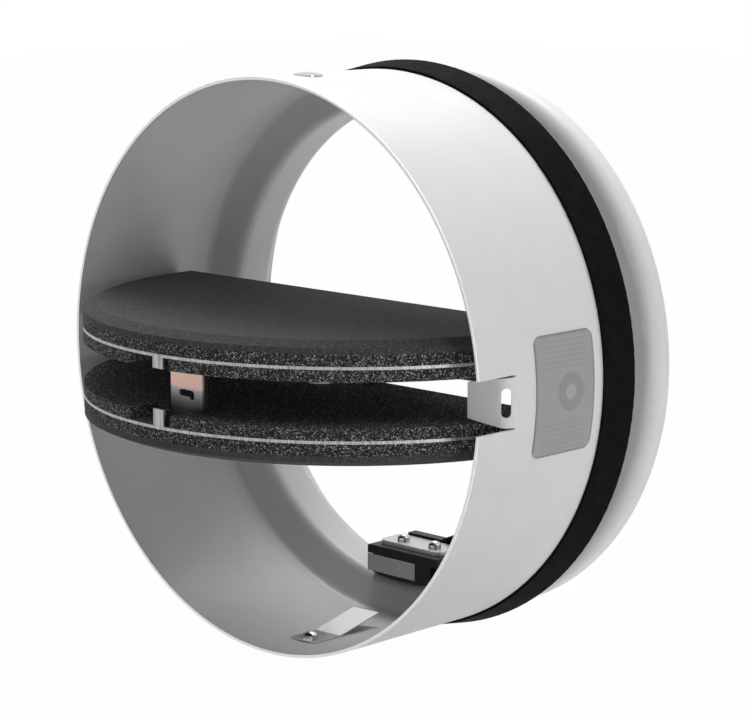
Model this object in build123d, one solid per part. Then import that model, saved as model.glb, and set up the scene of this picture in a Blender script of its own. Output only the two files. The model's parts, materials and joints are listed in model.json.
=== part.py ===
from build123d import *
import math
import os

# Fire damper cartridge for a round duct.
# Two half-round blades lie folded along the air flow and swing apart to close the tube.
# Frame: origin at the centre of the rear rim, +Y out of the rear, +Z up, millimetres.

# Casing tube
CASING_RADIUS = 99.0
CASING_WALL = 1.2
CASING_LENGTH = 96.0
RIM_ROUND = 0.35
REAR_LAND = 8.0
GROOVE_REAR_RUN = 3.0
GROOVE_FLOOR = 16.0
GROOVE_FRONT_RUN = 6.7
GROOVE_DEPTH = 11.0
BEND_RADIUS = 4.0

# Spacer tab, bent in from the front rim on the right
TAB_HALF_WIDTH = 8.1
TAB_END_HALF_WIDTH = 5.55
TAB_ROOT_DEPTH = 16.7
TAB_SLIT_WIDTH = 0.7
TAB_LENGTH = 10.6
TAB_TURN_DEG = 75.0
TAB_BEND_RADIUS = 4.0
TAB_SLOT_LENGTH = 9.6
TAB_SLOT_WIDTH = 3.2

# Duct seal
SEAL_LIP_OVERLAP = 1.2
SEAL_LIP_THICKNESS = 0.8
SEAL_PROUD = 2.75
SEAL_WIDTH = 13.2
SEAL_ROUND = 0.3

# Blades, measured outwards from the plane between them
BLADE_EDGE_GAP = 3.5
BLADE_GAP_HALF = 7.4
INNER_CORE_THICKNESS = 4.0
SHEET_THICKNESS = 1.0
OUTER_CORE_THICKNESS = 3.9
COVER_THICKNESS = 4.0
COVER_SLOPE_HEIGHT = 2.0
COVER_SLOPE_WIDTH = 4.3
COVER_LAP = 4.0
BLADE_JOINT_GAP = 0.4
SEAT_DEPTH = 2.2

# Axle, bushes and hinge knuckles
AXLE_RADIUS = 2.5
RUNNING_GAP = 0.05
CUT_MARGIN = 1.0
KNUCKLE_WALL = 1.2
KNUCKLE_WIDTH = 12.0
KNUCKLE_SPACING = 26.0
KNUCKLE_MIDDLE_X = 23.0
EAR_THICKNESS = 1.0
BUSH_SLEEVE_WALL = 1.2
BUSH_FLANGE_RADIUS = 6.4
BUSH_FLANGE_THICKNESS = 0.8
BUSH_INNER_LENGTH = 3.0
PART_GAP = 0.1

# Closing springs
SPRING_WIRE_RADIUS = 0.75
SPRING_COIL_GAP = 0.3
SPRING_TURNS = 6
SPRING_PITCH_GAP = 0.25
SPRING_LEG_LENGTH = 13.0

# Blade rivets
RIVET_SHANK_RADIUS = 1.6
RIVET_FLANGE_RADIUS = 5.0
RIVET_FLANGE_HEIGHT = 1.0
BLADE_RIVET_HEIGHT = 2.3
BLADE_RIVET_EDGE = 7.0
BLADE_RIVET_ANGLE_DEG = 38.0

# Fusible link, its hooks and the notches around them
LINK_X = 5.2
LINK_WIDTH = 15.4
LINK_THICKNESS = 0.8
LINK_SOLDER_GAP = 0.2
LINK_SETBACK = 11.5
LINK_OVERLAP = 6.0
LINK_REAR_SHIFT = -1.2
LINK_FLANGE_DEPTH = 1.6
LINK_SLOT_LENGTH = 7.4
LINK_SLOT_WIDTH = 2.2
LINK_SLOT_DROP = 0.9
LINK_SLOT_BELOW_MIDDLE = 1.9
HOOK_X = 4.0
HOOK_WIDTH = 5.0
UPPER_HOOK_LENGTH = 3.8
LOWER_HOOK_LENGTH = 5.6
NOTCH_X = -0.8
NOTCH_WIDTH = 20.0

# Leaf springs that catch the closed blades
LEAF_ANGLE_DEG = 2.0
LEAF_WIDTH = 12.5
LEAF_THICKNESS = 0.5
LEAF_BASE_LENGTH = 12.1
LEAF_RUN = 19.5
LEAF_RISE = 4.4
LEAF_CATCH_GAP = 4.6
LEAF_RIVET_FROM_END = 3.6
LEAF_RIVET_HEAD_RADIUS = 2.85
LEAF_RIVET_HEAD_HEIGHT = 2.3

# Side label
LABEL_WIDTH = 28.9
LABEL_HEIGHT = 40.0
LABEL_CORNER = 3.2
LABEL_FILM = 0.25
LABEL_OFFSET = -2.6
LABEL_DROP = 0.5

# End switch on the groove's crest, at the bottom
SWITCH_LEFT_X = -13.9
SWITCH_WIDTH = 34.3
SWITCH_DEPTH = 20.2
SWITCH_TOP = 12.1
SWITCH_CAP_THICKNESS = 3.1
SWITCH_RIDGE_HEIGHT = 2.3
SWITCH_RIDGE_DEPTH = 4.0
SWITCH_RIDGE_INSET = 5.0
SWITCH_BLADE_GAP = 0.8
LEVER_WIDTH = 23.6
LEVER_HEIGHT = 6.3
LEVER_THICKNESS = 0.6
LEVER_SLIT = 0.3
LEVER_ROOM = 2.0
LEVER_PIN_RADIUS = 0.6
LEVER_KNUCKLE_WALL = 0.6
LEVER_PIN_SETBACK = 2.2
LEVER_SKIN = 0.5
LEVER_PIN_OFFSET = 1.4
PLUNGER_RADIUS = 1.2
PLUNGER_DEPTH = 3.0
PLUNGER_CLEARANCE = 0.5
PLUNGER_FROM_PIN = 7.6
PLATE_LEFT_INSET = 2.2
PLATE_RIGHT_INSET = 2.4
PLATE_FRONT_INSET = 3.7
PLATE_DEPTH = 11.9
PLATE_THICKNESS = 1.5
PLATE_CORNER = 1.5
SCREW_SPACING = 15.4
SCREW_OFFSET = 0.85
SCREW_RADIUS = 1.25
SCREW_HEAD_RADIUS = 2.3
SCREW_HEAD_HEIGHT = 2.6
SCREW_FRONT_INSET = 4.7
GLAND_RADIUS = 2.6
GLAND_TIP_RADIUS = 2.1
GLAND_BORE_RADIUS = 1.5
GLAND_LENGTH = 15.0
GLAND_TILT_DEG = 25.0
GLAND_FROM_RIGHT = 13.0

# Places worked out from the sizes above
INNER_RADIUS = CASING_RADIUS - CASING_WALL
CREST_RADIUS = INNER_RADIUS - GROOVE_DEPTH
BLADE_RADIUS = INNER_RADIUS - BLADE_EDGE_GAP
FRONT_Y = -CASING_LENGTH
GROOVE_END_Y = -REAR_LAND
FLOOR_END_Y = GROOVE_END_Y - GROOVE_REAR_RUN
FLOOR_START_Y = FLOOR_END_Y - GROOVE_FLOOR
GROOVE_START_Y = FLOOR_START_Y - GROOVE_FRONT_RUN
SHEET_BOTTOM = BLADE_GAP_HALF + INNER_CORE_THICKNESS
SHEET_TOP = SHEET_BOTTOM + SHEET_THICKNESS
COVER_BOTTOM = SHEET_TOP + OUTER_CORE_THICKNESS
BLADE_TOP = COVER_BOTTOM + COVER_THICKNESS
AXLE_Y = GROOVE_START_Y - BLADE_TOP + SEAT_DEPTH
KNUCKLE_BORE = AXLE_RADIUS + RUNNING_GAP
KNUCKLE_RADIUS = KNUCKLE_BORE + KNUCKLE_WALL
BUSH_RADIUS = KNUCKLE_BORE + BUSH_SLEEVE_WALL
BUSH_END_X = math.sqrt(CASING_RADIUS ** 2 - BUSH_RADIUS ** 2)
EAR_BACK = KNUCKLE_RADIUS - 2 * EAR_THICKNESS
INNER_CORE_BACK = EAR_BACK + EAR_THICKNESS + PART_GAP
BLADE_FRONT_Y = AXLE_Y - BLADE_RADIUS
LINK_Y = BLADE_FRONT_Y + LINK_SETBACK
SWITCH_FRONT_Y = AXLE_Y + BLADE_TOP + SWITCH_BLADE_GAP
SWITCH_TOP_Z = SWITCH_TOP - CREST_RADIUS
SWITCH_CAP_Z = SWITCH_TOP_Z - SWITCH_CAP_THICKNESS
SWITCH_BASE_Y = SWITCH_FRONT_Y + LEVER_THICKNESS + LEVER_ROOM
SWITCH_REAR_Y = SWITCH_FRONT_Y + SWITCH_DEPTH
LEVER_TOP_Z = SWITCH_CAP_Z - LEVER_SLIT
LEVER_RIGHT_X = SWITCH_LEFT_X + LEVER_WIDTH
LEVER_PIN_X = LEVER_RIGHT_X + LEVER_PIN_OFFSET
LEVER_PIN_Y = SWITCH_FRONT_Y + LEVER_PIN_SETBACK
LEVER_KNUCKLE_RADIUS = LEVER_PIN_RADIUS + RUNNING_GAP + LEVER_KNUCKLE_WALL
PLATE_FRONT_Y = SWITCH_FRONT_Y + PLATE_FRONT_INSET
PLATE_LEFT_X = SWITCH_LEFT_X + PLATE_LEFT_INSET
PLATE_WIDTH = SWITCH_WIDTH - PLATE_LEFT_INSET - PLATE_RIGHT_INSET
SCREW_Y = PLATE_FRONT_Y + SCREW_FRONT_INSET
SCREW_MIDDLE_X = PLATE_LEFT_X + PLATE_WIDTH / 2 + SCREW_OFFSET

ALONG_X = Rot(0, 90, 0)
ALONG_Y = Rot(-90, 0, 0)


def block(x0, x1, y0, y1, z0, z1):
    """A box from its two corners."""
    middle = Pos((x0 + x1) / 2, (y0 + y1) / 2, (z0 + z1) / 2)
    return middle * Box(abs(x1 - x0), abs(y1 - y0), abs(z1 - z0))


def rod(radius, start, end):
    """A round bar between two points."""
    axis = Vector(*end) - Vector(*start)
    plane = Plane(origin=start, z_dir=axis)
    return extrude(plane * Circle(radius), axis.length)


def turned(points):
    """A ring or disc turned about the tube's axis from (radius, y) points."""
    return revolve(make_face(Polyline(*points, close=True)), Axis.Y)


def dome(radius, height, edge):
    """A domed head on the XY plane, rising along +Z, with an upright edge."""
    rise = height - edge
    ball = (rise ** 2 + radius ** 2) / (2 * rise)
    return extrude(Circle(radius), height) & Pos(0, 0, height - ball) * Sphere(ball)


def half_disc(radius, back, z0, z1, top_radius=None):
    """A blade layer: a disc about the axle, straight or tapered, cut straight behind it."""
    bottom = Plane.XY.offset(z0) * Pos(0, AXLE_Y) * Circle(radius)
    top = Plane.XY.offset(z1) * Pos(0, AXLE_Y) * Circle(top_radius or radius)
    keep = block(-2 * radius, 2 * radius, AXLE_Y - 2 * radius, AXLE_Y + back, z0 - CUT_MARGIN,
                 z1 + CUT_MARGIN)
    return loft([bottom, top]) & keep


def casing_shell():
    """The rolled tube with its groove, before any hole is cut."""
    front_half = math.tan(math.atan2(GROOVE_DEPTH, GROOVE_FRONT_RUN) / 2) * CASING_WALL
    rear_half = math.tan(math.atan2(GROOVE_DEPTH, GROOVE_REAR_RUN) / 2) * CASING_WALL
    floor = CASING_RADIUS - GROOVE_DEPTH
    outer_points = [
        (CASING_RADIUS, FRONT_Y),
        (CASING_RADIUS, GROOVE_START_Y),
        (floor, FLOOR_START_Y),
        (floor, FLOOR_END_Y),
        (CASING_RADIUS, GROOVE_END_Y),
        (CASING_RADIUS, 0),
    ]
    inner_points = [
        (INNER_RADIUS, FRONT_Y),
        (INNER_RADIUS, GROOVE_START_Y - front_half),
        (CREST_RADIUS, FLOOR_START_Y - front_half),
        (CREST_RADIUS, FLOOR_END_Y + rear_half),
        (INNER_RADIUS, GROOVE_END_Y + rear_half),
        (INNER_RADIUS, 0),
    ]
    wide = BEND_RADIUS + CASING_WALL
    outer = FilletPolyline(*outer_points, radius=[wide, BEND_RADIUS, BEND_RADIUS, wide])
    inner = FilletPolyline(*inner_points, radius=[BEND_RADIUS, wide, wide, BEND_RADIUS])
    ends = Line(outer @ 0, inner @ 0) + Line(outer @ 1, inner @ 1)
    shell = revolve(make_face(outer + inner + ends), Axis.Y)
    front_rim = shell.edges().filter_by(GeomType.CIRCLE).group_by(Axis.Y)[0]
    return fillet(front_rim, RIM_ROUND)


def tab_strip():
    """The bent spacer tab, with its taper and the slot at its bend."""
    root_y = FRONT_Y + TAB_ROOT_DEPTH
    half = CASING_WALL / 2
    outline = []
    for x, radius in ((CASING_RADIUS, TAB_BEND_RADIUS + half), (INNER_RADIUS, TAB_BEND_RADIUS - half)):
        root = Line((x, root_y + CASING_WALL), (x, root_y))
        bend = JernArc(root @ 1, (0, -1), radius, -TAB_TURN_DEG)
        straight = PolarLine(bend @ 1, TAB_LENGTH, direction=bend % 1)
        outline.append((root, bend, straight))
    (outer_root, outer_bend, outer_flat), (inner_root, inner_bend, inner_flat) = outline
    ends = Line(outer_root @ 0, inner_root @ 0) + Line(outer_flat @ 1, inner_flat @ 1)
    section = make_face(outer_root + outer_bend + outer_flat + inner_root + inner_bend + inner_flat + ends)
    strip = extrude(section, TAB_HALF_WIDTH, both=True)
    bend_middle = (outer_bend @ 0.5 + inner_bend @ 0.5) / 2
    end_x = min((outer_flat @ 1).X, (inner_flat @ 1).X) - CASING_WALL
    taper = Polyline(
        (CASING_RADIUS + CASING_WALL, -TAB_HALF_WIDTH),
        (CASING_RADIUS + CASING_WALL, TAB_HALF_WIDTH),
        (bend_middle.X, TAB_HALF_WIDTH),
        (end_x, TAB_END_HALF_WIDTH),
        (end_x, -TAB_END_HALF_WIDTH),
        (bend_middle.X, -TAB_HALF_WIDTH),
        close=True,
    )
    keep = extrude(Plane.XZ.offset(-FRONT_Y) * make_face(taper), CASING_LENGTH, both=True)
    slot_plane = Plane(origin=(bend_middle.X, bend_middle.Y, 0), x_dir=(0, 0, 1), z_dir=(1, -1, 0))
    slot = extrude(slot_plane * SlotOverall(TAB_SLOT_LENGTH, TAB_SLOT_WIDTH), 2 * CASING_WALL, both=True)
    return (strip & keep) - slot


def switch_screw_places():
    """The two screw axes as (x, y)."""
    return [(SCREW_MIDDLE_X + side * SCREW_SPACING / 2, SCREW_Y) for side in (-1, 1)]


def casing_tube(shell):
    """The tube with its notch, tab and holes."""
    reach = CASING_RADIUS + CASING_WALL
    near = INNER_RADIUS - 4 * CASING_WALL
    root_y = FRONT_Y + TAB_ROOT_DEPTH
    notch = block(near, reach, FRONT_Y - CUT_MARGIN, root_y, -TAB_HALF_WIDTH, TAB_HALF_WIDTH)
    tube = shell - notch
    for side in (-1, 1):
        z_low = side * TAB_HALF_WIDTH
        z_high = side * (TAB_HALF_WIDTH + TAB_SLIT_WIDTH)
        slit_end = root_y + TAB_SLIT_WIDTH / 2
        tube -= block(near, reach, FRONT_Y - CUT_MARGIN, slit_end, z_low, z_high)
        tube -= Pos(reach, slit_end, (z_low + z_high) / 2) * ALONG_X * Cylinder(
            TAB_SLIT_WIDTH / 2, 2 * (reach - near))
    tube += tab_strip()
    tube -= Pos(0, AXLE_Y, 0) * ALONG_X * Cylinder(BUSH_RADIUS + RUNNING_GAP, 2 * reach)
    rivet_hole = leaf_frame() * Pos(0, leaf_rivet_y(), -reach) * Cylinder(
        RIVET_SHANK_RADIUS + RUNNING_GAP, 4 * GROOVE_DEPTH)
    tube -= rivet_hole + mirror(rivet_hole, about=Plane.XY)
    for x, y in switch_screw_places():
        tube -= Pos(x, y, -reach) * Cylinder(SCREW_RADIUS + RUNNING_GAP, 4 * GROOVE_DEPTH)
    return tube


def duct_seal(shell):
    """The rubber ring that fills the front of the groove."""
    front = GROOVE_START_Y - SEAL_LIP_OVERLAP
    rear = front + SEAL_WIDTH
    ring = turned([
        (CREST_RADIUS, front),
        (CASING_RADIUS + SEAL_LIP_THICKNESS, front),
        (CASING_RADIUS + SEAL_PROUD, rear),
        (CREST_RADIUS, rear),
    ])
    edges = ring.edges().filter_by(GeomType.CIRCLE).group_by(Axis.Y)[-1].sort_by(SortBy.RADIUS)
    ring = fillet(edges[-1], SEAL_ROUND)
    return max((ring - shell).solids(), key=lambda piece: piece.bounding_box().size.X)


def axle():
    """The shaft, flush with the outer faces of its bushes."""
    bar = Pos(0, AXLE_Y, 0) * ALONG_X * Cylinder(AXLE_RADIUS, 2 * BUSH_END_X)
    return chamfer(bar.edges().filter_by(GeomType.CIRCLE), AXLE_RADIUS / 6)


def axle_bush(side):
    """A bush in the casing wall with its flange inside, right for +1 and left for -1."""
    inner_x = INNER_RADIUS - BUSH_INNER_LENGTH
    flange_x = math.sqrt(INNER_RADIUS ** 2 - BUSH_FLANGE_RADIUS ** 2)
    sleeve = rod(BUSH_RADIUS, (side * inner_x, AXLE_Y, 0), (side * BUSH_END_X, AXLE_Y, 0))
    flange = rod(BUSH_FLANGE_RADIUS, (side * (flange_x - BUSH_FLANGE_THICKNESS), AXLE_Y, 0),
                 (side * flange_x, AXLE_Y, 0))
    hole = Pos(0, AXLE_Y, 0) * ALONG_X * Cylinder(KNUCKLE_BORE, 4 * CASING_RADIUS)
    return sleeve + flange - hole


def side_label():
    """The film on the right, over the axle's end."""
    middle_y = AXLE_Y + LABEL_OFFSET
    sheet = turned([
        (CASING_RADIUS, middle_y - LABEL_WIDTH),
        (CASING_RADIUS + LABEL_FILM, middle_y - LABEL_WIDTH),
        (CASING_RADIUS + LABEL_FILM, middle_y + LABEL_WIDTH),
        (CASING_RADIUS, middle_y + LABEL_WIDTH),
    ])
    outline = Pos(middle_y, -LABEL_DROP) * RectangleRounded(LABEL_WIDTH, LABEL_HEIGHT, LABEL_CORNER)
    return sheet & extrude(Plane.YZ * outline, 2 * CASING_RADIUS)


def closing_spring():
    """The left torsion spring on the axle, with one leg against each blade."""
    coil_radius = AXLE_RADIUS + SPRING_COIL_GAP + SPRING_WIRE_RADIUS
    pitch = 2 * SPRING_WIRE_RADIUS + SPRING_PITCH_GAP
    turns = SPRING_TURNS + 0.5
    height = pitch * turns
    start_x = -KNUCKLE_MIDDLE_X - height / 2
    along = Plane(origin=(start_x, AXLE_Y, 0), x_dir=(0, 0, 1), z_dir=(1, 0, 0))
    path = along * Helix(pitch, height, coil_radius, lefthand=True)
    start = path @ 0
    section = Plane(origin=start, z_dir=path % 0) * Circle(SPRING_WIRE_RADIUS)
    coil = sweep(section, path=path, is_frenet=True)
    reach_z = BLADE_GAP_HALF - SPRING_WIRE_RADIUS - PART_GAP
    spring = coil
    for end, level in ((path @ 0, reach_z), (path @ 1, -reach_z)):
        tip = (end.X, AXLE_Y - SPRING_LEG_LENGTH, level)
        spring += Pos(*end) * Sphere(SPRING_WIRE_RADIUS) + rod(SPRING_WIRE_RADIUS, tuple(end), tip)
    return spring


def blade_cover(back):
    """The smooth outer board, with a sloped edge round its face and a lap clear of the other blade."""
    slope_z = BLADE_TOP - COVER_SLOPE_HEIGHT
    board = half_disc(BLADE_RADIUS, back, COVER_BOTTOM, slope_z)
    board += half_disc(BLADE_RADIUS, back, slope_z, BLADE_TOP, BLADE_RADIUS - COVER_SLOPE_WIDTH)
    lap_end = AXLE_Y + COVER_LAP + CUT_MARGIN
    return board - block(-BLADE_RADIUS, BLADE_RADIUS, AXLE_Y - BLADE_JOINT_GAP, lap_end,
                         COVER_BOTTOM - CUT_MARGIN, COVER_BOTTOM + PART_GAP)


def rivet_places():
    """Blade rivet axes as (x, y)."""
    radius = BLADE_RADIUS - BLADE_RIVET_EDGE
    angle = math.radians(BLADE_RIVET_ANGLE_DEG)
    edge_x = radius * math.sin(angle)
    edge_y = AXLE_Y - radius * math.cos(angle)
    return [(side * edge_x, edge_y) for side in (-1, 1)]


def rivet_holes():
    """Cutters for the rivets' shanks."""
    cutter = Cylinder(RIVET_SHANK_RADIUS + RUNNING_GAP, 4 * BLADE_TOP)
    return [Pos(x, y, 0) * cutter for x, y in rivet_places()]


def blade_outer_core(holes):
    """The speckled board between the cover and the sheet."""
    return half_disc(BLADE_RADIUS, -BLADE_JOINT_GAP, SHEET_TOP, COVER_BOTTOM) - holes


def blade_inner_core(holes):
    """The speckled board on the inside, notched at the front for the link."""
    board = half_disc(BLADE_RADIUS, -INNER_CORE_BACK, BLADE_GAP_HALF, SHEET_BOTTOM)
    notch = block(NOTCH_X - NOTCH_WIDTH / 2, NOTCH_X + NOTCH_WIDTH / 2, BLADE_FRONT_Y - CUT_MARGIN,
                  LINK_Y + LINK_THICKNESS + PART_GAP, 0, SHEET_BOTTOM)
    link_half = LINK_WIDTH / 2 + abs(LINK_REAR_SHIFT) + PART_GAP
    link_room = block(LINK_X - link_half, LINK_X + link_half, LINK_Y - PART_GAP,
                      LINK_Y + LINK_THICKNESS + LINK_FLANGE_DEPTH + PART_GAP, 0, SHEET_BOTTOM)
    return board - notch - link_room - holes


def knuckle_places(first):
    """The middle of each hinge knuckle along X, outer pair first or inner pair."""
    offset_x = KNUCKLE_SPACING / 2 if first else -KNUCKLE_SPACING / 2
    return [side * (KNUCKLE_MIDDLE_X + offset_x) for side in (-1, 1)]


def blade_sheet(outer_knuckles, hook_length, holes):
    """The steel sheet with its hook at the front and its knuckles on the axle."""
    sheet = half_disc(BLADE_RADIUS, -EAR_BACK, SHEET_BOTTOM, SHEET_TOP) - holes
    hook_y = AXLE_Y - math.sqrt(BLADE_RADIUS ** 2 - (HOOK_X + HOOK_WIDTH / 2) ** 2)
    sheet += block(HOOK_X - HOOK_WIDTH / 2, HOOK_X + HOOK_WIDTH / 2, hook_y, hook_y + SHEET_THICKNESS,
                   SHEET_BOTTOM - hook_length, SHEET_TOP)
    for x in knuckle_places(outer_knuckles):
        left, right = x - KNUCKLE_WIDTH / 2, x + KNUCKLE_WIDTH / 2
        ear_front = AXLE_Y - EAR_BACK - EAR_THICKNESS
        sheet += block(left, right, ear_front, ear_front + EAR_THICKNESS, 0, SHEET_TOP)
        sheet += rod(KNUCKLE_RADIUS, (left, AXLE_Y, 0), (right, AXLE_Y, 0))
    return sheet - Pos(0, AXLE_Y, 0) * ALONG_X * Cylinder(KNUCKLE_BORE, 4 * BLADE_RADIUS)


def blade_rivets():
    """The blade's rivets, heads on the inside."""
    head = mirror(dome(RIVET_FLANGE_RADIUS, BLADE_RIVET_HEIGHT, BLADE_RIVET_HEIGHT / 3), about=Plane.XY)
    shank = extrude(Circle(RIVET_SHANK_RADIUS), COVER_BOTTOM - BLADE_GAP_HALF)
    rivet = Pos(0, 0, BLADE_GAP_HALF) * (head + shank)
    return Compound(children=[Pos(x, y, 0) * rivet for x, y in rivet_places()])


def link_front_plate():
    """The copper half of the link: stands on the lower sheet and shows to the front."""
    foot_z = -SHEET_BOTTOM
    top_z = LINK_OVERLAP
    left, right = LINK_X - LINK_WIDTH / 2, LINK_X + LINK_WIDTH / 2
    plate = block(left, right, LINK_Y, LINK_Y + LINK_THICKNESS, foot_z, top_z)
    foot_left = max(left, NOTCH_X - NOTCH_WIDTH / 2 + PART_GAP)
    foot_right = min(right, NOTCH_X + NOTCH_WIDTH / 2 - PART_GAP)
    foot_front = BLADE_FRONT_Y + SHEET_THICKNESS + HOOK_WIDTH / 4
    plate += block(foot_left, foot_right, foot_front, LINK_Y, foot_z, foot_z + LINK_THICKNESS)
    slot_z = -LINK_SLOT_BELOW_MIDDLE
    bar = SlotOverall(LINK_SLOT_LENGTH, LINK_SLOT_WIDTH)
    drop_x = LINK_SLOT_LENGTH / 2 - LINK_SLOT_WIDTH / 2
    drop = Pos(drop_x, -LINK_SLOT_DROP / 2) * SlotOverall(
        LINK_SLOT_DROP + LINK_SLOT_WIDTH, LINK_SLOT_WIDTH, rotation=90)
    face = Plane(origin=(LINK_X, LINK_Y, slot_z), x_dir=(1, 0, 0), z_dir=(0, -1, 0))
    return plate - extrude(face * (bar + drop), 2 * LINK_THICKNESS, both=True)


def link_edge_strip():
    """The strip folded back along the front plate's right edge."""
    right = LINK_X + LINK_WIDTH / 2
    front = LINK_Y + LINK_THICKNESS
    return block(right - LINK_THICKNESS, right, front, front + LINK_FLANGE_DEPTH,
                 -SHEET_BOTTOM, LINK_OVERLAP)


def link_rear_plate():
    """The other half of the link: hangs from the upper sheet behind the front plate."""
    front = LINK_Y + LINK_THICKNESS + LINK_SOLDER_GAP
    left = LINK_X - LINK_WIDTH / 2 + LINK_REAR_SHIFT
    return block(left, left + LINK_WIDTH, front, front + LINK_THICKNESS, 0, SHEET_BOTTOM)


def leaf_frame():
    """Turns a piece built at the bottom of the tube to the leaf springs' place."""
    return Rot(0, -LEAF_ANGLE_DEG, 0)


def leaf_front_y():
    """Where the leaf's flat base starts."""
    return AXLE_Y + BLADE_GAP_HALF - LEAF_CATCH_GAP - LEAF_RUN - LEAF_BASE_LENGTH


def leaf_rivet_y():
    return leaf_front_y() + LEAF_RIVET_FROM_END


def leaf_floor_z():
    """The height at which the leaf's flat base meets the round wall."""
    return -math.sqrt((INNER_RADIUS - RUNNING_GAP) ** 2 - (LEAF_WIDTH / 2) ** 2)


def leaf_spring():
    """The lower leaf spring: a flat base, then a straight rise to its free end."""
    y0 = leaf_front_y()
    y1 = y0 + LEAF_BASE_LENGTH
    y2 = y1 + LEAF_RUN
    z0 = leaf_floor_z()
    side = make_face(Polyline(
        (y0, z0), (y1, z0), (y2, z0 + LEAF_RISE), (y2, z0 + LEAF_RISE + LEAF_THICKNESS),
        (y1, z0 + LEAF_THICKNESS), (y0, z0 + LEAF_THICKNESS), close=True))
    leaf = extrude(Plane.YZ * side, LEAF_WIDTH / 2, both=True)
    hole = Pos(0, leaf_rivet_y(), z0) * Cylinder(RIVET_SHANK_RADIUS + RUNNING_GAP, 4 * LEAF_THICKNESS)
    return leaf_frame() * (leaf - hole)


def leaf_rivet():
    """The lower spring's rivet: round head inside, wide flange outside."""
    top_z = leaf_floor_z() + LEAF_THICKNESS
    head = dome(LEAF_RIVET_HEAD_RADIUS, LEAF_RIVET_HEAD_HEIGHT, LEAF_RIVET_HEAD_HEIGHT / 2)
    flange = mirror(dome(RIVET_FLANGE_RADIUS, RIVET_FLANGE_HEIGHT, RIVET_FLANGE_HEIGHT / 3), about=Plane.XY)
    shank = Pos(0, 0, -CASING_RADIUS) * extrude(Circle(RIVET_SHANK_RADIUS), top_z + CASING_RADIUS)
    rivet = Pos(0, 0, top_z) * head + shank + Pos(0, 0, -CASING_RADIUS) * flange
    return leaf_frame() * Pos(0, leaf_rivet_y(), 0) * rivet


def seat_cutter():
    """What lies below the groove's crest, where the switch sits."""
    room = block(-CASING_RADIUS, CASING_RADIUS, SWITCH_FRONT_Y - CUT_MARGIN, 0, -2 * CASING_RADIUS, 0)
    return room - Pos(0, FLOOR_START_Y, 0) * ALONG_Y * Cylinder(CREST_RADIUS, 4 * CASING_LENGTH)


def switch_screw_holes():
    cutter = Cylinder(SCREW_RADIUS + RUNNING_GAP, 4 * CASING_RADIUS)
    return [Pos(x, y, 0) * cutter for x, y in switch_screw_places()]


def switch_base():
    """The switch body: saddle-shaped underneath, with the lever's pivot block on the right."""
    right_x = SWITCH_LEFT_X + SWITCH_WIDTH
    low = -CASING_RADIUS
    body = block(SWITCH_LEFT_X, right_x, SWITCH_BASE_Y, SWITCH_REAR_Y, low, SWITCH_CAP_Z)
    knuckle_room = LEVER_KNUCKLE_RADIUS + 2 * PART_GAP
    pivot = block(LEVER_RIGHT_X + 2 * PART_GAP, right_x - SWITCH_CAP_THICKNESS, SWITCH_FRONT_Y,
                  SWITCH_BASE_Y, LEVER_TOP_Z - LEVER_HEIGHT, SWITCH_CAP_Z)
    pin_axis = Pos(LEVER_PIN_X, LEVER_PIN_Y, 0)
    room_low = LEVER_TOP_Z - LEVER_HEIGHT + LEVER_KNUCKLE_WALL
    room_high = LEVER_TOP_Z - LEVER_KNUCKLE_WALL
    room = pin_axis * Pos(0, 0, room_low) * extrude(Circle(knuckle_room), room_high - room_low)
    room += block(LEVER_RIGHT_X, LEVER_PIN_X, SWITCH_FRONT_Y + LEVER_SKIN, LEVER_PIN_Y + knuckle_room,
                  room_low, room_high)
    pin_hole = pin_axis * Cylinder(LEVER_PIN_RADIUS, 4 * CASING_RADIUS)
    plunger_bore = rod(PLUNGER_RADIUS + PLUNGER_CLEARANCE, plunger_point(SWITCH_BASE_Y),
                       plunger_point(SWITCH_BASE_Y + PLUNGER_DEPTH + LEVER_ROOM))
    base = body + pivot - room - pin_hole - plunger_bore - switch_screw_holes()
    return (base - seat_cutter()).solids().sort_by(SortBy.VOLUME)[-1]


def switch_cap():
    """The cap that overhangs the lever, with softened top edges and a ridge along its rear."""
    right_x = SWITCH_LEFT_X + SWITCH_WIDTH
    cap = block(SWITCH_LEFT_X, right_x, SWITCH_FRONT_Y, SWITCH_REAR_Y, SWITCH_CAP_Z, SWITCH_TOP_Z)
    cap = fillet(cap.edges().group_by(Axis.Z)[-1], SWITCH_CAP_THICKNESS / 5)
    ridge = block(SWITCH_LEFT_X + SWITCH_RIDGE_INSET, right_x, SWITCH_REAR_Y - SWITCH_RIDGE_DEPTH,
                  SWITCH_REAR_Y, SWITCH_CAP_Z, SWITCH_TOP_Z + SWITCH_RIDGE_HEIGHT)
    return cap + ridge - switch_screw_holes() - gland_cutter()


def switch_clamp_plate():
    """The bright plate under the two screw heads, with cut corners."""
    z0 = SWITCH_TOP_Z
    plate = block(PLATE_LEFT_X, PLATE_LEFT_X + PLATE_WIDTH, PLATE_FRONT_Y, PLATE_FRONT_Y + PLATE_DEPTH,
                  z0, z0 + PLATE_THICKNESS)
    plate = chamfer(plate.edges().filter_by(Axis.Z), PLATE_CORNER)
    return plate - switch_screw_holes()


def switch_screws():
    """Both screws, from their domed heads down into the casing wall."""
    seat_z = SWITCH_TOP_Z + PLATE_THICKNESS
    end_radius = CREST_RADIUS + CASING_WALL / 2
    head = dome(SCREW_HEAD_RADIUS, SCREW_HEAD_HEIGHT, SCREW_HEAD_HEIGHT / 2)
    screws = []
    for x, y in switch_screw_places():
        end_z = -math.sqrt(end_radius ** 2 - (abs(x) + SCREW_RADIUS) ** 2)
        screws.append(Pos(x, y, seat_z) * head + rod(SCREW_RADIUS, (x, y, end_z), (x, y, seat_z)))
    return Compound(children=screws)


def plunger_point(y):
    return (LEVER_PIN_X - PLUNGER_FROM_PIN, y, LEVER_TOP_Z - LEVER_HEIGHT / 2)


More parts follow.
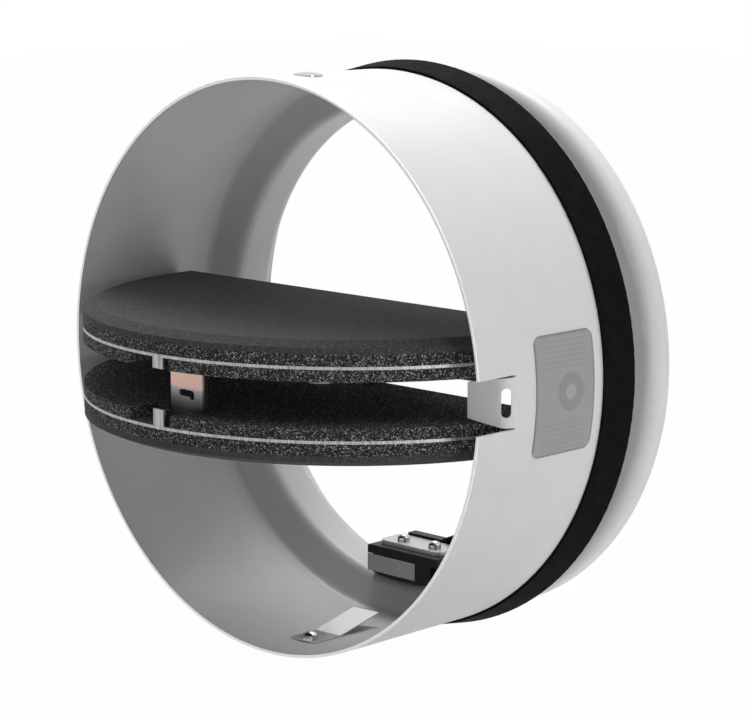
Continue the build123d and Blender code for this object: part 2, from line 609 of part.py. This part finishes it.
def switch_lever():
    """The bright plate in front of the switch, on a knuckle at its right end."""
    low_z = LEVER_TOP_Z - LEVER_HEIGHT
    rear_y = SWITCH_FRONT_Y + LEVER_THICKNESS
    lever = block(SWITCH_LEFT_X, LEVER_RIGHT_X, SWITCH_FRONT_Y, rear_y, low_z, LEVER_TOP_Z)
    knuckle_low = low_z + LEVER_KNUCKLE_WALL + PART_GAP
    knuckle_high = LEVER_TOP_Z - LEVER_KNUCKLE_WALL - PART_GAP
    arm_rear_y = LEVER_PIN_Y - LEVER_PIN_RADIUS - RUNNING_GAP
    lever += block(LEVER_RIGHT_X - LEVER_PIN_OFFSET, LEVER_PIN_X, rear_y, arm_rear_y,
                   knuckle_low, knuckle_high)
    lever += rod(LEVER_KNUCKLE_RADIUS, (LEVER_PIN_X, LEVER_PIN_Y, knuckle_low),
                 (LEVER_PIN_X, LEVER_PIN_Y, knuckle_high))
    pin_hole = Cylinder(LEVER_PIN_RADIUS + RUNNING_GAP, 4 * CASING_RADIUS)
    return lever - Pos(LEVER_PIN_X, LEVER_PIN_Y, 0) * pin_hole


def lever_pin():
    low_z = LEVER_TOP_Z - LEVER_HEIGHT
    return rod(LEVER_PIN_RADIUS, (LEVER_PIN_X, LEVER_PIN_Y, low_z),
               (LEVER_PIN_X, LEVER_PIN_Y, SWITCH_CAP_Z))


def switch_plunger():
    """The stud on the lever's back that reaches into the switch."""
    front_y = SWITCH_FRONT_Y + LEVER_THICKNESS
    return rod(PLUNGER_RADIUS, plunger_point(front_y), plunger_point(SWITCH_BASE_Y + PLUNGER_DEPTH))


def gland_ends():
    """The gland's root in the cap's rear ridge and its raised tip."""
    tilt = math.radians(GLAND_TILT_DEG)
    root_x = SWITCH_LEFT_X + SWITCH_WIDTH - GLAND_FROM_RIGHT
    y = SWITCH_REAR_Y - SWITCH_RIDGE_DEPTH / 2
    root_z = SWITCH_TOP_Z + SWITCH_RIDGE_HEIGHT - GLAND_RADIUS
    tip = (root_x + GLAND_LENGTH * math.cos(tilt), y, root_z + GLAND_LENGTH * math.sin(tilt))
    return (root_x, y, root_z), tip


def gland_cutter():
    """The pocket in the ridge that holds the gland."""
    root, tip = gland_ends()
    return rod(GLAND_RADIUS + RUNNING_GAP, root, tip)


def cable_gland():
    """The tapered sleeve where a lead would enter the switch."""
    root, tip = gland_ends()
    along = Plane(origin=root, z_dir=Vector(*tip) - Vector(*root))
    sleeve = loft([along * Circle(GLAND_RADIUS), along.offset(GLAND_LENGTH) * Circle(GLAND_TIP_RADIUS)])
    bore = extrude(along.offset(GLAND_LENGTH / 3) * Circle(GLAND_BORE_RADIUS), GLAND_LENGTH)
    return sleeve - bore


def lower(piece):
    """The lower blade's twin of an upper piece."""
    return mirror(piece, about=Plane.XY)


def build():
    """Every node by name."""
    shell = casing_shell()
    holes = rivet_holes()
    parts = {
        "casing_tube": casing_tube(shell),
        "duct_seal": duct_seal(shell),
        "axle": axle(),
        "axle_bush_left": axle_bush(-1),
        "axle_bush_right": axle_bush(1),
        "side_label": side_label(),
        "closing_spring_left": closing_spring(),
        "closing_spring_right": mirror(closing_spring(), about=Plane.YZ),
        "lower_leaf_spring": leaf_spring(),
        "upper_leaf_spring": lower(leaf_spring()),
        "lower_spring_rivet": leaf_rivet(),
        "upper_spring_rivet": lower(leaf_rivet()),
        "switch_base": switch_base(),
        "switch_cap": switch_cap(),
        "switch_clamp_plate": switch_clamp_plate(),
        "switch_screws": switch_screws(),
        "cable_gland": cable_gland(),
        "lever_pin": lever_pin(),
        "switch_lever": switch_lever(),
        "switch_plunger": switch_plunger(),
        "upper_blade_cover": blade_cover(COVER_LAP),
        "upper_blade_outer_core": blade_outer_core(holes),
        "upper_blade_sheet": blade_sheet(True, UPPER_HOOK_LENGTH, holes),
        "upper_blade_inner_core": blade_inner_core(holes),
        "upper_blade_rivets": blade_rivets(),
        "link_rear_plate": link_rear_plate(),
        "lower_blade_cover": lower(blade_cover(-COVER_LAP - BLADE_JOINT_GAP)),
        "lower_blade_outer_core": lower(blade_outer_core([])),
        "lower_blade_sheet": lower(blade_sheet(False, LOWER_HOOK_LENGTH, [])),
        "lower_blade_inner_core": lower(blade_inner_core([])),
        "link_front_plate": link_front_plate(),
        "link_edge_strip": link_edge_strip(),
    }
    return parts


os.makedirs("parts", exist_ok=True)
for name, piece in build().items():
    export_step(piece, f"parts/{name}.step")
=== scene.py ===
"""Looks for a round fire damper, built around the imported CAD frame. Metres, row frame."""

import bmesh
import bpy
import json
import math
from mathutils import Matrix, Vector

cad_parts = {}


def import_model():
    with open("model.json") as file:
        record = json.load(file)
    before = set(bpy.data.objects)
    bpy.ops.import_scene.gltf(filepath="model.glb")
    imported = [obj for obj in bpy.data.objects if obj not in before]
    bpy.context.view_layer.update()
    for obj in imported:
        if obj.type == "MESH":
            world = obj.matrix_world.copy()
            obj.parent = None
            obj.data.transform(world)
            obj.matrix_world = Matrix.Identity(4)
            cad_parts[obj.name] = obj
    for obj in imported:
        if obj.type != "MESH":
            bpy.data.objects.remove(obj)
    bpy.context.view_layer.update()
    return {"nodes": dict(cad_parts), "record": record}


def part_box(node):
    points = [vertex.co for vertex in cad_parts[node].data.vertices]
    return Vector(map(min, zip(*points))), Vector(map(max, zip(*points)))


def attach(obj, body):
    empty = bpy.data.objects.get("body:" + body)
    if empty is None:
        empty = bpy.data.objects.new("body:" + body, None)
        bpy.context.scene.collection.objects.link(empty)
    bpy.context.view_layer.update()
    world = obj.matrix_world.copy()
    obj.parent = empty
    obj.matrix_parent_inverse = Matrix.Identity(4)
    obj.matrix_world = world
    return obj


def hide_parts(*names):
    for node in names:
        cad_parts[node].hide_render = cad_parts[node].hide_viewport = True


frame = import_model()
MM = 0.001

# Photograph's camera
IMAGE_WIDTH = 750
IMAGE_HEIGHT = 720
PRINCIPAL_X = 370.88
PRINCIPAL_Y = 351.18
FOCAL_PIXELS = 2533.97
SENSOR_MM = 36.0
CAMERA_AZIMUTH = math.radians(44.4)
CAMERA_ELEVATION = math.radians(9.893)
CAMERA_DISTANCE = 895.5 * MM
CAMERA_TARGET = Vector((0, -43.25 * MM, 0))
CAMERA_CLIP_START = 10 * MM

# Places read from the frame
FRONT_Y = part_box("casing_tube")[0].y
SEAL_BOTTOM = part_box("duct_seal")[0].z
AXLE_LOW, AXLE_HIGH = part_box("axle")
AXLE_Y = (AXLE_LOW.y + AXLE_HIGH.y) / 2
AXLE_RADIUS = (AXLE_HIGH.z - AXLE_LOW.z) / 2

# Closing springs, as in the CAD
SPRING_WIRE = 0.75 * MM
SPRING_COIL = 3.55 * MM
SPRING_TURNS = 6.5
STEPS_PER_TURN = 28
WIRE_SIDES = 14
WIRE_SHARP_ANGLE = math.radians(50)

# Casing: a short weld mark at the front rim, with its widths as angles, and the rim's bare cut edge
WELD_ANGLE = math.radians(-45.5)
WELD_CORE = 0.0012
WELD_EDGE = 0.0030
WELD_STRENGTH = 0.45
WELD_LENGTH = 3.6 * MM
WELD_FADE = 1.0 * MM
CUT_EDGE_FULL = 0.25 * MM
CUT_EDGE_END = 0.45 * MM

# Casing: how far a face looks away from the tube's axis, from the inside colour, a painted shade, to
# the outside one
INSIDE_FACING = -0.25
OUTSIDE_FACING = 0.0

# Label: a border, ruled lines above and below the middle, and what shows through the film
LABEL_BORDER_INNER = 0.9 * MM
LABEL_BORDER_OUTER = 0.3 * MM
LABEL_RULE = 1.7 * MM
LABEL_RULE_CORE = 0.1 * MM
LABEL_RULE_EDGE = 0.45 * MM
LABEL_RULE_STRENGTH = 0.16
LABEL_RULED_FROM = 8.5 * MM
LABEL_INSET_INNER = 3.4 * MM
LABEL_INSET_OUTER = 3.2 * MM
LABEL_RING_RADIUS = 6.4 * MM
LABEL_BLUR = 0.3 * MM
LABEL_DOT_BLUR = 0.2 * MM

# Greys along each material's own pattern, as place and tone
# Casing inside: greys darker than the outside paint, as painted shade on the inward faces
PAINT_INSIDE_SHADED = ((0.3, 0.64), (0.7, 0.68))
RUBBER_TONES = ((0.3, 0.007), (0.75, 0.013))
COVER_TONES = ((0.38, 0.034), (0.52, 0.076), (0.66, 0.15))
CORE_TONES = ((0.0, 0.010), (0.45, 0.030), (0.72, 0.085), (0.88, 0.26), (1.0, 0.75))
LABEL_TONES = ((0.3, 0.38), (0.7, 0.41))
PLASTIC_TONES = ((0.3, 0.006), (0.75, 0.013))
FLOOR_TONES = ((0.3, 0.74), (0.7, 0.78))

# Single greys
WELD_TONE = 0.30
CUT_EDGE_TONE = 0.70
COVER_PATCH_TONE = 0.09
CORE_CLUMP_TONE = 0.03
LABEL_RULE_TONE = 0.16
LABEL_RING_TONE = 0.32
LABEL_DOT_TONE = 0.44
LABEL_BORDER_TONE = 0.27

# Colours with a tint, as place and colour
PAINT_OUTSIDE = ((0.3, (0.835, 0.84, 0.845)), (0.7, (0.865, 0.87, 0.875)))
# Link plate from its foot up: near black and dark grey as painted shade, then tinned grey and copper
LINK_COLOURS_AND_SHADE = ((0.3, 0.02), (0.48, 0.16), (0.66, 0.40), (0.72, (0.86, 0.57, 0.48)))
LINK_WAVE = 0.1
LINK_METALLIC = 0.55

# Drawn lines in steel, as how far the pattern is squeezed along X, Y and Z
LINES_ALONG_X = (1, 14, 14)
LINES_ALONG_Y = (14, 1, 14)
LINES_ACROSS_Z = (1, 1, 8)
NO_LINES = (1, 1, 1)
SHEET_EDGE_LINES = (7, 7, 0.3)
STEEL_DIP = 0.14
SHEET_DIP = 0.75

# Range of a noise pattern that a roughness follows
NOISE_LOW = 0.2
NOISE_HIGH = 0.8

# Studio: light from the sky is dark in front on the right and pale behind
SCREEN_TOWARDS = Vector((0.60, -0.78, 0.0)).normalized()
SKY_PALE_FROM = -0.65
SKY_DARK_FROM = 0.15
SKY_LOW = 0.09
SKY_HIGH = 0.85
FLOOR_HALF = 3.0
FLOOR_DROP = 0.5 * MM
FLOOR_WHITE_SHARE = 0.98

# Square lamps that face the object, as place, size and power
LAMPS = {
    "key": ((-0.4, 0.45, 1.25), 0.8, 12),
    "fill": ((0.75, -0.05, 1.1), 0.8, 4.5),
    "low_fill": ((1.2, -0.28, -0.05), 0.3, 2.6),
}


def as_colour(value):
    """A plain number is a grey."""
    return value if isinstance(value, tuple) else (value, value, value)


def new_object(name, data):
    obj = bpy.data.objects.new(name, data)
    bpy.context.scene.collection.objects.link(obj)
    return obj


def new_mesh(name, bm, material):
    mesh = bpy.data.meshes.new(name)
    bm.to_mesh(mesh)
    bm.free()
    mesh.materials.append(material)
    return mesh


def look_along(obj, direction):
    obj.rotation_euler = direction.to_track_quat("-Z", "Y").to_euler()


def set_inputs(node, values):
    for socket, value in values.items():
        node.inputs[socket].default_value = value


class Graph:
    """A material with its node tree and short calls to add to it."""

    def __init__(self, name):
        self.material = bpy.data.materials.new(name)
        self.material.use_nodes = True
        self.tree = self.material.node_tree
        self.shader = self.tree.nodes["Principled BSDF"]

    def add(self, kind, **values):
        node = self.tree.nodes.new(kind)
        for key, value in values.items():
            setattr(node, key, value)
        return node

    def join(self, source, target):
        self.tree.links.new(source, target)

    def plug(self, socket, value):
        if isinstance(value, bpy.types.NodeSocket):
            self.join(value, socket)
        else:
            socket.default_value = value

    def coordinates(self):
        return self.add("ShaderNodeTexCoord").outputs["Object"]

    def place(self):
        """The point's own x, y and z in the row frame."""
        split = self.add("ShaderNodeSeparateXYZ")
        self.join(self.coordinates(), split.inputs["Vector"])
        return split.outputs["X"], split.outputs["Y"], split.outputs["Z"]

    def math(self, operation, *values):
        node = self.add("ShaderNodeMath", operation=operation)
        for socket, value in zip(node.inputs, values):
            self.plug(socket, value)
        return node.outputs["Value"]

    def off(self, source, middle):
        """How far a value is from a middle."""
        return self.math("ABSOLUTE", self.math("SUBTRACT", source, middle))

    def noise(self, scale, detail=4.0, roughness=0.6, stretch=None):
        node = self.add("ShaderNodeTexNoise")
        set_inputs(node, {"Scale": scale, "Detail": detail, "Roughness": roughness})
        source = self.coordinates()
        if stretch:
            mapping = self.add("ShaderNodeMapping")
            set_inputs(mapping, {"Scale": stretch})
            self.join(source, mapping.inputs["Vector"])
            source = mapping.outputs["Vector"]
        self.join(source, node.inputs["Vector"])
        return node.outputs["Fac"]

    def cells(self, scale):
        node = self.add("ShaderNodeTexVoronoi")
        set_inputs(node, {"Scale": scale})
        self.join(self.coordinates(), node.inputs["Vector"])
        return node

    def ramp(self, source, stops):
        node = self.add("ShaderNodeValToRGB")
        points = node.color_ramp.elements
        while len(points) < len(stops):
            points.new(0.5)
        for point, (place, colour) in zip(points, stops):
            point.position = place
            point.color = (*as_colour(colour), 1)
        self.join(source, node.inputs["Fac"])
        return node.outputs["Color"]

    def span(self, source, low, high, to_low=0.0, to_high=1.0):
        """Maps a value from one range to another and stops at its ends."""
        node = self.add("ShaderNodeMapRange")
        set_inputs(node, {"From Min": low, "From Max": high, "To Min": to_low, "To Max": to_high})
        self.join(source, node.inputs["Value"])
        return node.outputs["Result"]

    def below(self, source, full, end, strength=1.0):
        """The strength up to one value, fading to nothing at the next."""
        return self.span(source, full, end, strength, 0.0)

    def mix(self, factor, first, second):
        """A first colour with a second one or a plain grey over it."""
        node = self.add("ShaderNodeMix", data_type="RGBA")
        self.join(factor, node.inputs[0])
        self.join(first, node.inputs[6])
        if isinstance(second, float):
            second = (*as_colour(second), 1)
        self.plug(node.inputs[7], second)
        return node.outputs[2]

    def colour(self, source):
        self.join(source, self.shader.inputs["Base Color"])

    def rough(self, pattern, low, high):
        roughness = self.span(pattern, NOISE_LOW, NOISE_HIGH, low, high)
        self.join(roughness, self.shader.inputs["Roughness"])

    def bump(self, source, strength, distance):
        node = self.add("ShaderNodeBump")
        set_inputs(node, {"Strength": strength, "Distance": distance})
        self.join(source, node.inputs["Height"])
        self.join(node.outputs["Normal"], self.shader.inputs["Normal"])


def casing_paint():
    """Pale satin outside, greyer inside as painted shade, with a weld mark and a bare cut edge at the
    front rim.
    """
    g = Graph("casing_paint")
    x, y, z = g.place()
    radial = g.add("ShaderNodeCombineXYZ")
    g.join(x, radial.inputs["X"])
    g.join(z, radial.inputs["Z"])
    unit = g.add("ShaderNodeVectorMath", operation="NORMALIZE")
    g.join(radial.outputs["Vector"], unit.inputs[0])
    facing = g.add("ShaderNodeVectorMath", operation="DOT_PRODUCT")
    g.join(unit.outputs["Vector"], facing.inputs[0])
    g.join(g.add("ShaderNodeNewGeometry").outputs["Normal"], facing.inputs[1])
    outside = g.span(facing.outputs["Value"], INSIDE_FACING, OUTSIDE_FACING)
    mottle = g.noise(scale=55, detail=3, roughness=0.55)
    # Inward faces take the darker inside grey, a painted shade
    paint = g.mix(outside, g.ramp(mottle, PAINT_INSIDE_SHADED), g.ramp(mottle, PAINT_OUTSIDE))
    weld = g.below(g.off(g.math("ARCTAN2", z, x), WELD_ANGLE), WELD_CORE, WELD_EDGE, WELD_STRENGTH)
    near_rim = g.below(y, FRONT_Y + WELD_LENGTH, FRONT_Y + WELD_LENGTH + WELD_FADE)
    paint = g.mix(g.math("MULTIPLY", weld, near_rim), paint, WELD_TONE)
    cut_edge = g.below(y, FRONT_Y + CUT_EDGE_FULL, FRONT_Y + CUT_EDGE_END)
    g.colour(g.mix(cut_edge, paint, CUT_EDGE_TONE))
    g.join(cut_edge, g.shader.inputs["Metallic"])
    g.rough(g.noise(scale=140), low=0.36, high=0.46)
    g.bump(g.noise(scale=900, detail=2), strength=0.05, distance=0.2 * MM)
    return g.material


def seal_rubber():
    """Near-black rubber with a dry, uneven surface."""
    g = Graph("seal_rubber")
    g.colour(g.ramp(g.noise(scale=220, detail=5), RUBBER_TONES))
    g.rough(g.noise(scale=90), low=0.6, high=0.8)
    set_inputs(g.shader, {"Specular IOR Level": 0.02})
    g.bump(g.noise(scale=1400, detail=3), strength=0.15, distance=0.2 * MM)
    return g.material


def cover_board():
    """Charcoal board with a fine pressed grain and broad faint patches."""
    g = Graph("cover_board")
    fine = g.noise(scale=1100, detail=6, roughness=0.8)
    patches = g.span(g.noise(scale=38, detail=3, roughness=0.5), 0.35, 0.7, to_high=0.35)
    g.colour(g.mix(patches, g.ramp(fine, COVER_TONES), COVER_PATCH_TONE))
    g.rough(fine, low=0.7, high=0.86)
    set_inputs(g.shader, {"Specular IOR Level": 0.15})
    g.bump(fine, strength=0.5, distance=0.4 * MM)
    return g.material


def core_board():
    """Pressed dark grains with small pale flecks."""
    g = Graph("core_board")
    grains = g.cells(scale=2900)
    tint = g.add("ShaderNodeSeparateColor")
    g.join(grains.outputs["Color"], tint.inputs["Color"])
    clumps = g.span(g.noise(scale=260, detail=3), 0.3, 0.75, to_high=0.35)
    g.colour(g.mix(clumps, g.ramp(tint.outputs["Red"], CORE_TONES), CORE_CLUMP_TONE))
    set_inputs(g.shader, {"Roughness": 0.85, "Specular IOR Level": 0.15})
    g.bump(grains.outputs["Distance"], strength=0.6, distance=0.4 * MM)
    return g.material


def steel(name, tone, rough_low, rough_high, stretch=NO_LINES, dip=STEEL_DIP):
    """Bare steel whose tone dips along drawn lines."""
    g = Graph(name)
    lines = g.noise(scale=260, stretch=stretch)
    g.colour(g.ramp(lines, ((0.25, tone * (1 - dip)), (0.75, tone))))
    g.rough(lines, rough_low, rough_high)
    set_inputs(g.shader, {"Metallic": 1.0})
    g.bump(lines, strength=0.06, distance=0.1 * MM)
    return g.material


def label_film():
    """Grey film with faint ruled lines, a darker border, and the bush and axle end showing through."""
    g = Graph("label_film")
    low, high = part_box("side_label")
    half_width = (high.y - low.y) / 2
    half_height = (high.z - low.z) / 2
    _, y, z = g.place()
    across = g.off(y, (low.y + high.y) / 2)
    up = g.off(z, (low.z + high.z) / 2)
    colour = g.ramp(g.noise(scale=160, detail=3), LABEL_TONES)

    from_rule = g.math("PINGPONG", z, LABEL_RULE / 2)
    lines = g.below(from_rule, LABEL_RULE_CORE, LABEL_RULE_EDGE, LABEL_RULE_STRENGTH)
    inset = g.below(across, half_width - LABEL_INSET_INNER, half_width - LABEL_INSET_OUTER)
    clear_of_middle = g.span(up, LABEL_RULED_FROM, LABEL_RULED_FROM + LABEL_BLUR)
    ruled = g.math("MULTIPLY", inset, clear_of_middle)
    colour = g.mix(g.math("MULTIPLY", lines, ruled), colour, LABEL_RULE_TONE)

    across_squared = g.math("POWER", g.off(y, AXLE_Y), 2.0)
    from_axle = g.math("SQRT", g.math("ADD", across_squared, g.math("POWER", z, 2.0)))
    ring = g.below(from_axle, LABEL_RING_RADIUS - LABEL_BLUR, LABEL_RING_RADIUS + LABEL_BLUR)
    colour = g.mix(ring, colour, LABEL_RING_TONE)
    dot = g.below(from_axle, AXLE_RADIUS - LABEL_DOT_BLUR, AXLE_RADIUS + LABEL_BLUR)
    colour = g.mix(dot, colour, LABEL_DOT_TONE)

    sides = g.span(across, half_width - LABEL_BORDER_INNER, half_width - LABEL_BORDER_OUTER)
    ends = g.span(up, half_height - LABEL_BORDER_INNER, half_height - LABEL_BORDER_OUTER)
    g.colour(g.mix(g.math("MAXIMUM", sides, ends), colour, LABEL_BORDER_TONE))
    g.rough(g.noise(scale=400, detail=3), low=0.45, high=0.55)
    g.bump(g.noise(scale=700, detail=2), strength=0.05, distance=0.1 * MM)
    return g.material


def switch_plastic():
    """Black moulded plastic with a light texture."""
    g = Graph("switch_plastic")
    g.colour(g.ramp(g.noise(scale=300), PLASTIC_TONES))
    g.rough(g.noise(scale=500, detail=3), low=0.38, high=0.55)
    set_inputs(g.shader, {"Specular IOR Level": 0.2})
    g.bump(g.noise(scale=1800, detail=2), strength=0.12, distance=0.1 * MM)
    return g.material


def link_copper():
    """Copper at the top of the plate, through tinned grey to near black at its foot as painted shade.
    """
    g = Graph("link_copper")
    low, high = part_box("link_front_plate")
    height = g.span(g.place()[2], low.z, high.z)
    wavy_height = g.math("MULTIPLY_ADD", g.noise(scale=160, detail=3), LINK_WAVE, height)
    # The near-black and dark grey towards the foot are painted shade
    g.colour(g.ramp(wavy_height, LINK_COLOURS_AND_SHADE))
    g.rough(g.noise(scale=300, stretch=LINES_ACROSS_Z), low=0.35, high=0.5)
    set_inputs(g.shader, {"Metallic": LINK_METALLIC})
    return g.material


MATERIALS = {
    "casing_paint": casing_paint(),
    "seal_rubber": seal_rubber(),
    "cover_board": cover_board(),
    "core_board": core_board(),
    "label_film": label_film(),
    "switch_plastic": switch_plastic(),
    "link_copper": link_copper(),
    "plain_steel": steel("plain_steel", 0.62, 0.32, 0.45, LINES_ALONG_X),
    "bright_zinc": steel("bright_zinc", 0.56, 0.10, 0.18),
}
SPRING_STEEL = steel("spring_steel", 0.20, 0.35, 0.5)
LEAF_STEEL = steel("leaf_steel", 0.68, 0.14, 0.22, LINES_ALONG_Y)
BLADE_SHEET = steel("blade_sheet", 0.60, 0.35, 0.5, SHEET_EDGE_LINES, SHEET_DIP)

# Nodes whose steel looks different from their slot's
VARIANTS = {
    "upper_blade_rivets": SPRING_STEEL,
    "upper_blade_sheet": BLADE_SHEET,
    "lower_blade_sheet": BLADE_SHEET,
    "lower_leaf_spring": LEAF_STEEL,
    "upper_leaf_spring": LEAF_STEEL,
    "switch_lever": steel("dull_steel", 0.34, 0.4, 0.55, LINES_ALONG_X),
    "switch_clamp_plate": steel("plate_steel", 0.5, 0.3, 0.42, LINES_ALONG_X),
    # Near-black steel on the edge strip, as painted shade
    "link_edge_strip": steel("steel_in_painted_shade", 0.05, 0.45, 0.6),
}


def dress_nodes():
    """Each CAD node takes its variant, or else its slot's material."""
    slots = {part["node"]: part["material_slot"] for part in frame["record"]["subparts"]}
    for name, node in frame["nodes"].items():
        node.data.materials.clear()
        node.data.materials.append(VARIANTS.get(name, MATERIALS[slots[name]]))


def wire(name, points):
    """A round spring wire along points, none of whose runs is straight along X."""
    turns = [math.tau * step / WIRE_SIDES for step in range(WIRE_SIDES)]
    bm = bmesh.new()
    rings = []
    for index, point in enumerate(points):
        before = points[max(index - 1, 0)]
        after = points[min(index + 1, len(points) - 1)]
        along = (after - before).normalized()
        across = Vector((1, 0, 0))
        across = (across - across.dot(along) * along).normalized()
        up = along.cross(across)
        ring = []
        for turn in turns:
            outward = math.cos(turn) * across + math.sin(turn) * up
            ring.append(bm.verts.new(point + SPRING_WIRE * outward))
        rings.append(ring)
    for first, second in zip(rings, rings[1:]):
        for step in range(WIRE_SIDES):
            following = (step + 1) % WIRE_SIDES
            bm.faces.new((first[step], first[following], second[following], second[step]))
    bm.faces.new(rings[0][::-1])
    bm.faces.new(rings[-1])
    bmesh.ops.recalc_face_normals(bm, faces=bm.faces)
    mesh = new_mesh(name, bm, SPRING_STEEL)
    mesh.shade_smooth()
    mesh.set_sharp_from_angle(angle=WIRE_SHARP_ANGLE)
    obj = new_object(name, mesh)
    return obj


def closing_springs():
    """Each spring's coil stays on the axle and each leg turns with its own blade."""
    steps = round(SPRING_TURNS * STEPS_PER_TURN)
    for side, label in ((-1, "left"), (1, "right")):
        node = f"closing_spring_{label}"
        low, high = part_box(node)
        outer = max(abs(low.x), abs(high.x)) - SPRING_WIRE
        inner = min(abs(low.x), abs(high.x)) + SPRING_WIRE
        points = []
        for step in range(steps + 1):
            share = step / steps
            turn = math.tau * SPRING_TURNS * share
            x = side * (outer + (inner - outer) * share)
            y = AXLE_Y + SPRING_COIL * math.sin(turn)
            points.append(Vector((x, y, SPRING_COIL * math.cos(turn))))
        coil = wire(f"{node}_coil", points)
        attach(coil, "casing")
        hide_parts(node)
        for root, tip_z, body in ((points[0], high.z - SPRING_WIRE, "upper_blade"),
                                  (points[-1], low.z + SPRING_WIRE, "lower_blade")):
            tip = Vector((root.x, low.y + SPRING_WIRE, tip_z))
            leg = wire(f"{node}_{body}_leg", [root, root.lerp(tip, 0.5), tip])
            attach(leg, body)


def backdrop_rays(tree):
    """1 for rays that see the backdrop, straight, mirrored or through glass, and 0 for the rest."""
    path = tree.nodes.new("ShaderNodeLightPath")
    seen = path.outputs["Is Camera Ray"]
    for ray in ("Is Glossy Ray", "Is Transmission Ray"):
        either = tree.nodes.new("ShaderNodeMath")
        either.operation = "MAXIMUM"
        tree.links.new(seen, either.inputs[0])
        tree.links.new(path.outputs[ray], either.inputs[1])
        seen = either.outputs["Value"]
    return seen


def blend_surface(tree, output, share, lit, white):
    """Sends a lit surface, with a share of plain white over it, to the output."""
    blend = tree.nodes.new("ShaderNodeMixShader")
    for socket, source in zip(blend.inputs, (share, lit, white)):
        tree.links.new(source, socket)
    tree.links.new(blend.outputs["Shader"], tree.nodes[output].inputs["Surface"])


def floor_material():
    """White to the camera and in reflections, with a faint shadow kept."""
    g = Graph("studio_floor")
    g.colour(g.ramp(g.noise(scale=3, detail=2), FLOOR_TONES))
    set_inputs(g.shader, {"Roughness": 0.9, "Specular IOR Level": 0.1})
    white = g.add("ShaderNodeEmission")
    set_inputs(white, {"Color": (1, 1, 1, 1), "Strength": 1.0})
    share = g.math("MULTIPLY", backdrop_rays(g.tree), FLOOR_WHITE_SHARE)
    blend_surface(g.tree, "Material Output", share, g.shader.outputs["BSDF"], white.outputs["Emission"])
    return g.material


def floor():
    """A pale floor just under the seal."""
    height = SEAL_BOTTOM - FLOOR_DROP
    bm = bmesh.new()
    corners = []
    for x, y in ((-1, -1), (1, -1), (1, 1), (-1, 1)):
        corners.append(bm.verts.new((x * FLOOR_HALF, y * FLOOR_HALF, height)))
    bm.faces.new(corners)
    new_object("floor", new_mesh("floor", bm, floor_material()))


def world():
    """White to the camera and in reflections, and a graded light on the object."""
    studio = bpy.data.worlds.new("studio")
    studio.use_nodes = True
    bpy.context.scene.world = studio
    tree = studio.node_tree
    where = tree.nodes.new("ShaderNodeTexCoord")
    facing = tree.nodes.new("ShaderNodeVectorMath")
    facing.operation = "DOT_PRODUCT"
    facing.inputs[1].default_value = SCREEN_TOWARDS
    tree.links.new(where.outputs["Generated"], facing.inputs[0])
    level = tree.nodes.new("ShaderNodeMapRange")
    level.interpolation_type = "SMOOTHSTEP"
    set_inputs(level, {"From Min": SKY_PALE_FROM, "From Max": SKY_DARK_FROM})
    set_inputs(level, {"To Min": SKY_HIGH, "To Max": SKY_LOW})
    tree.links.new(facing.outputs["Value"], level.inputs["Value"])
    light = tree.nodes["Background"]
    set_inputs(light, {"Color": (1, 1, 1, 1)})
    tree.links.new(level.outputs["Result"], light.inputs["Strength"])
    white = tree.nodes.new("ShaderNodeBackground")
    set_inputs(white, {"Color": (1, 1, 1, 1), "Strength": 1.0})
    sources = (light.outputs["Background"], white.outputs["Background"])
    blend_surface(tree, "World Output", backdrop_rays(tree), *sources)


def lamps():
    for name, (place, size, power) in LAMPS.items():
        data = bpy.data.lights.new(name, "AREA")
        data.size = size
        data.energy = power
        obj = new_object(name, data)
        obj.location = place
        look_along(obj, CAMERA_TARGET - Vector(place))


def camera():
    """The photograph's camera."""
    data = bpy.data.cameras.new("camera")
    data.sensor_fit = "HORIZONTAL"
    data.sensor_width = SENSOR_MM
    data.lens = FOCAL_PIXELS / IMAGE_WIDTH * SENSOR_MM
    data.shift_x = (IMAGE_WIDTH / 2 - PRINCIPAL_X) / IMAGE_WIDTH
    data.shift_y = (PRINCIPAL_Y - IMAGE_HEIGHT / 2) / IMAGE_WIDTH
    data.clip_start = CAMERA_CLIP_START
    obj = new_object("camera", data)
    back = Vector((
        math.sin(CAMERA_AZIMUTH) * math.cos(CAMERA_ELEVATION),
        -math.cos(CAMERA_AZIMUTH) * math.cos(CAMERA_ELEVATION),
        math.sin(CAMERA_ELEVATION),
    ))
    obj.location = CAMERA_TARGET + back * CAMERA_DISTANCE
    look_along(obj, -back)
    bpy.context.scene.camera = obj


bpy.context.scene.view_settings.view_transform = "Standard"
dress_nodes()
closing_springs()
floor()
world()
lamps()
camera()
